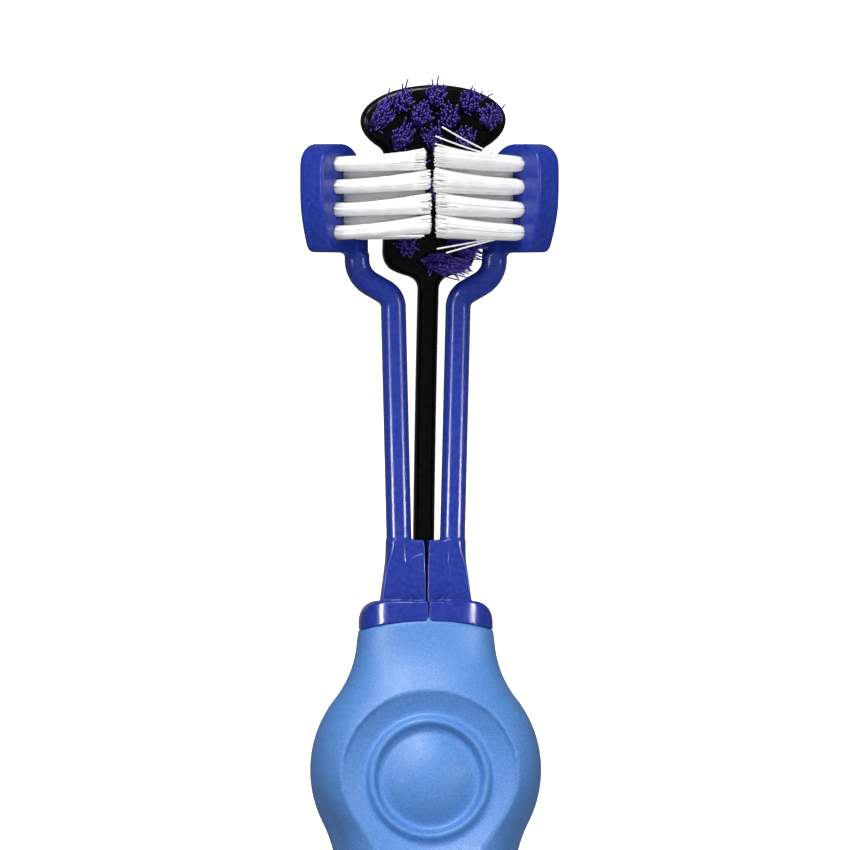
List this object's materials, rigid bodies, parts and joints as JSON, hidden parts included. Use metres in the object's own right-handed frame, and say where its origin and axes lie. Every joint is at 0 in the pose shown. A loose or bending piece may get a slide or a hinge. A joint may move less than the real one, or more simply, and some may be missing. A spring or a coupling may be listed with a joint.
{
  "type": "pet toothbrush",
  "caption": "Three-headed pet toothbrush: two flexing side arms with facing white tufts, a centre arm with purple tufts behind them, and a soft bulb grip.",
  "frame": {"origin": "middle of the bounding box, on the flat back on which the brush lies", "axes": "+Y along the brush from the butt to the heads, +Z from the flat back to the thumb pad, +X to the right arm"},
  "size_m": [0.0372, 0.2, 0.0271],
  "materials": {
    "soft_grip": "matte",
    "gloss_blue": "gloss",
    "gloss_black": "gloss",
    "white_bristle": "satin",
    "purple_bristle": "satin",
    "anchor_wire": "satin"
  },
  "bodies": {
    "handle": {"grip_sleeve": "soft_grip", "left_frame": "gloss_blue", "right_frame": "gloss_blue", "centre_root": "gloss_black"},
    "left_arm_body": {"left_arm": "gloss_blue", "left_anchors": "anchor_wire", "left_tuft_01": "white_bristle", "left_tuft_02": "white_bristle", "left_tuft_03": "white_bristle", "left_tuft_04": "white_bristle", "left_tuft_05": "white_bristle", "left_tuft_06": "white_bristle", "left_tuft_07": "white_bristle", "left_tuft_08": "white_bristle", "left_tuft_09": "white_bristle", "left_tuft_10": "white_bristle", "left_tuft_11": "white_bristle"},
    "right_arm_body": {"right_arm": "gloss_blue", "right_anchors": "anchor_wire", "right_tuft_01": "white_bristle", "right_tuft_02": "white_bristle", "right_tuft_03": "white_bristle", "right_tuft_04": "white_bristle", "right_tuft_05": "white_bristle", "right_tuft_06": "white_bristle", "right_tuft_07": "white_bristle", "right_tuft_08": "white_bristle", "right_tuft_09": "white_bristle", "right_tuft_10": "white_bristle", "right_tuft_11": "white_bristle"},
    "centre_arm_body": {"centre_arm": "gloss_black", "centre_anchors": "anchor_wire", "centre_tuft_01": "purple_bristle", "centre_tuft_02": "purple_bristle", "centre_tuft_03": "purple_bristle", "centre_tuft_04": "purple_bristle", "centre_tuft_05": "purple_bristle", "centre_tuft_06": "purple_bristle", "centre_tuft_07": "purple_bristle", "centre_tuft_08": "purple_bristle", "centre_tuft_09": "purple_bristle", "centre_tuft_10": "purple_bristle", "centre_tuft_11": "purple_bristle", "centre_tuft_12": "purple_bristle", "centre_tuft_13": "purple_bristle", "centre_tuft_14": "purple_bristle", "centre_tuft_15": "purple_bristle", "centre_tuft_16": "purple_bristle", "centre_tuft_17": "purple_bristle", "centre_tuft_18": "purple_bristle", "centre_tuft_19": "purple_bristle", "centre_tuft_20": "purple_bristle"}
  },
  "joints": [
    {"name": "left_arm_flex", "type": "hinge", "parent": "handle", "child": "left_arm_body", "pos_m": [-0.00392, 0.043, 0.0105], "axis": [0, 0, 1], "range_deg": [0, 8], "stiffness_Nm_per_rad": 0.8},
    {"name": "right_arm_flex", "type": "hinge", "parent": "handle", "child": "right_arm_body", "pos_m": [0.00392, 0.043, 0.0105], "axis": [0, 0, -1], "range_deg": [0, 8], "stiffness_Nm_per_rad": 0.8},
    {"name": "centre_arm_flex", "type": "hinge", "parent": "handle", "child": "centre_arm_body", "pos_m": [0.00025, 0.043, 0.0055], "axis": [-0.9998, 0.0209, 0], "range_deg": [0, 8], "stiffness_Nm_per_rad": 0.4}
  ]
}
